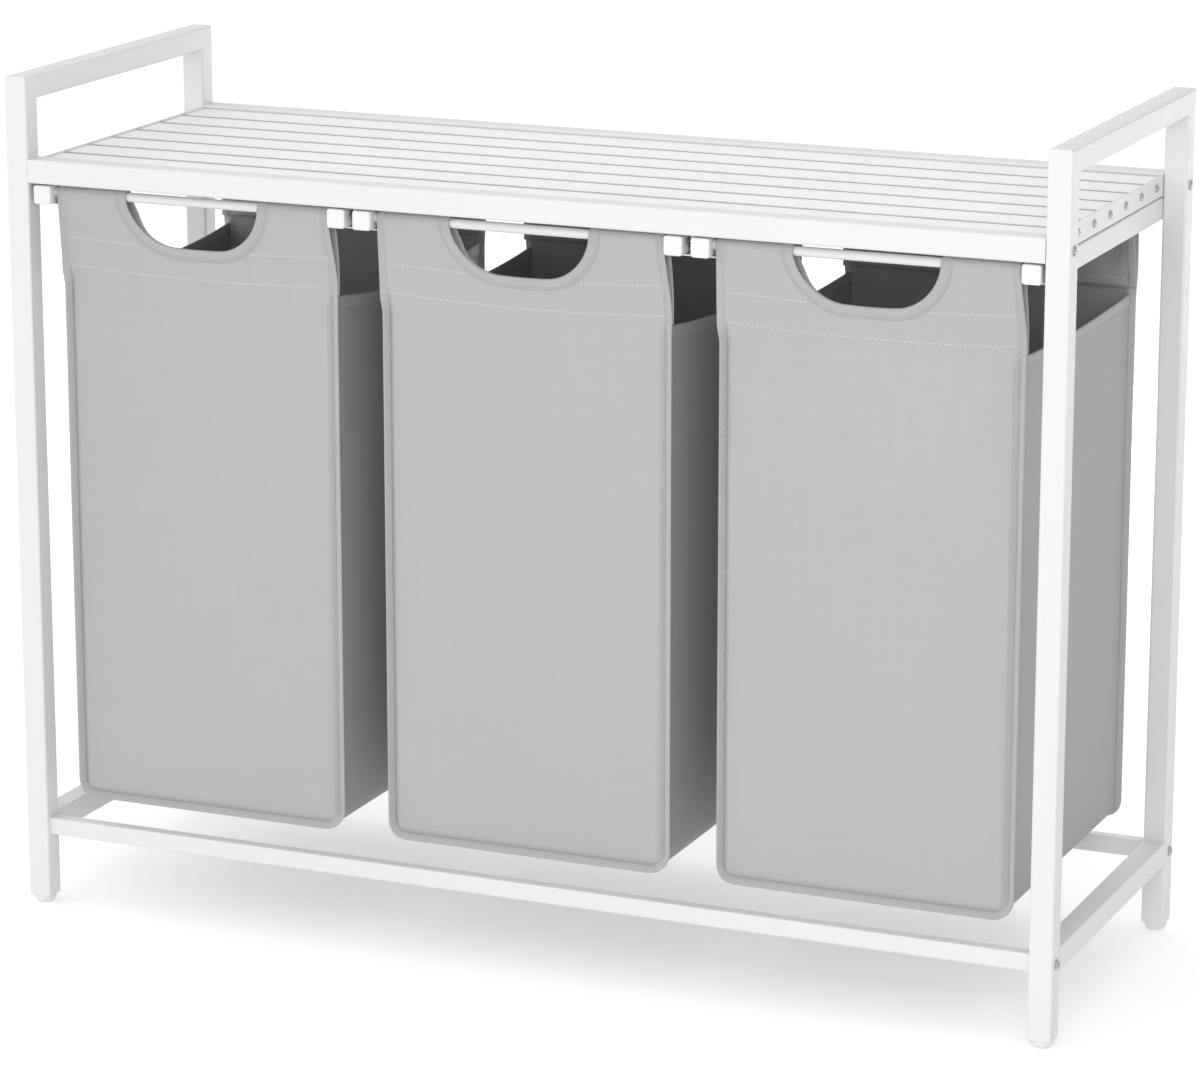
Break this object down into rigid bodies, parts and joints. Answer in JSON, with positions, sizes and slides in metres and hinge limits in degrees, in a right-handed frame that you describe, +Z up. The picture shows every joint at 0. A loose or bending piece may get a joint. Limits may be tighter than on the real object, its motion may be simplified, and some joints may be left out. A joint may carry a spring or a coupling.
{
  "type": "laundry sorter",
  "caption": "Laundry sorter: a square-tube frame with end handles and a slatted shelf above fabric bags that slide out to the front.",
  "frame": {"origin": "on the floor, below the middle of the frame", "axes": "+X along the shelf to the right, +Y to the back, +Z up; the bags slide out along -Y"},
  "size_m": [0.9294, 0.33, 0.72],
  "materials": {
    "white_steel": "satin powder coat",
    "white_slat": "satin white paint",
    "white_plastic": "semi-gloss",
    "foot_plastic": "translucent white, matt",
    "screw_steel": "nickel plated",
    "zinc_steel": "zinc plated",
    "board": "grey sheet",
    "grey_fabric": "plain-woven polyester with bound seams"
  },
  "bodies": {
    "frame": {"foot_front_left": "foot_plastic", "foot_front_right": "foot_plastic", "foot_rear_left": "foot_plastic", "foot_rear_right": "foot_plastic", "frame_screws": "screw_steel", "handle_bar_left": "white_steel", "handle_bar_right": "white_steel", "low_rail_front": "white_steel", "low_rail_nuts": "zinc_steel", "low_rail_rear": "white_steel", "low_side_rail_left": "white_steel", "low_side_rail_right": "white_steel", "post_front_left": "white_steel", "post_front_right": "white_steel", "post_rear_left": "white_steel", "post_rear_right": "white_steel", "runner_left_bag_left": "white_steel", "runner_left_bag_right": "white_steel", "runner_middle_bag_left": "white_steel", "runner_middle_bag_right": "white_steel", "runner_right_bag_left": "white_steel", "runner_right_bag_right": "white_steel", "shelf_end_plate_left": "white_steel", "shelf_end_plate_right": "white_steel", "shelf_rail_front": "white_steel", "shelf_rail_nuts": "zinc_steel", "shelf_rail_rear": "white_steel", "slat_1": "white_slat", "slat_2": "white_slat", "slat_3": "white_slat", "slat_4": "white_slat", "slat_5": "white_slat", "slat_6": "white_slat", "slat_7": "white_slat", "slat_screws": "screw_steel"},
    "left_bag_slider": {"bag_left": "grey_fabric", "base_board_left": "board", "glides_left_bag": "white_plastic", "rod_left_bag_front": "white_steel", "rod_left_bag_rear": "white_steel", "rod_screws_left_bag": "screw_steel", "slide_tube_left_bag_left": "white_steel", "slide_tube_left_bag_right": "white_steel"},
    "middle_bag_slider": {"bag_middle": "grey_fabric", "base_board_middle": "board", "glides_middle_bag": "white_plastic", "rod_middle_bag_front": "white_steel", "rod_middle_bag_rear": "white_steel", "rod_screws_middle_bag": "screw_steel", "slide_tube_middle_bag_left": "white_steel", "slide_tube_middle_bag_right": "white_steel"},
    "right_bag_slider": {"bag_right": "grey_fabric", "base_board_right": "board", "glides_right_bag": "white_plastic", "rod_right_bag_front": "white_steel", "rod_right_bag_rear": "white_steel", "rod_screws_right_bag": "screw_steel", "slide_tube_right_bag_left": "white_steel", "slide_tube_right_bag_right": "white_steel"}
  },
  "joints": [
    {"name": "left_bag_slide", "type": "slide", "parent": "frame", "child": "left_bag_slider", "axis": [0, -1, 0], "range_m": [0, 0.24]},
    {"name": "middle_bag_slide", "type": "slide", "parent": "frame", "child": "middle_bag_slider", "axis": [0, -1, 0], "range_m": [0, 0.24]},
    {"name": "right_bag_slide", "type": "slide", "parent": "frame", "child": "right_bag_slider", "axis": [0, -1, 0], "range_m": [0, 0.24]}
  ]
}
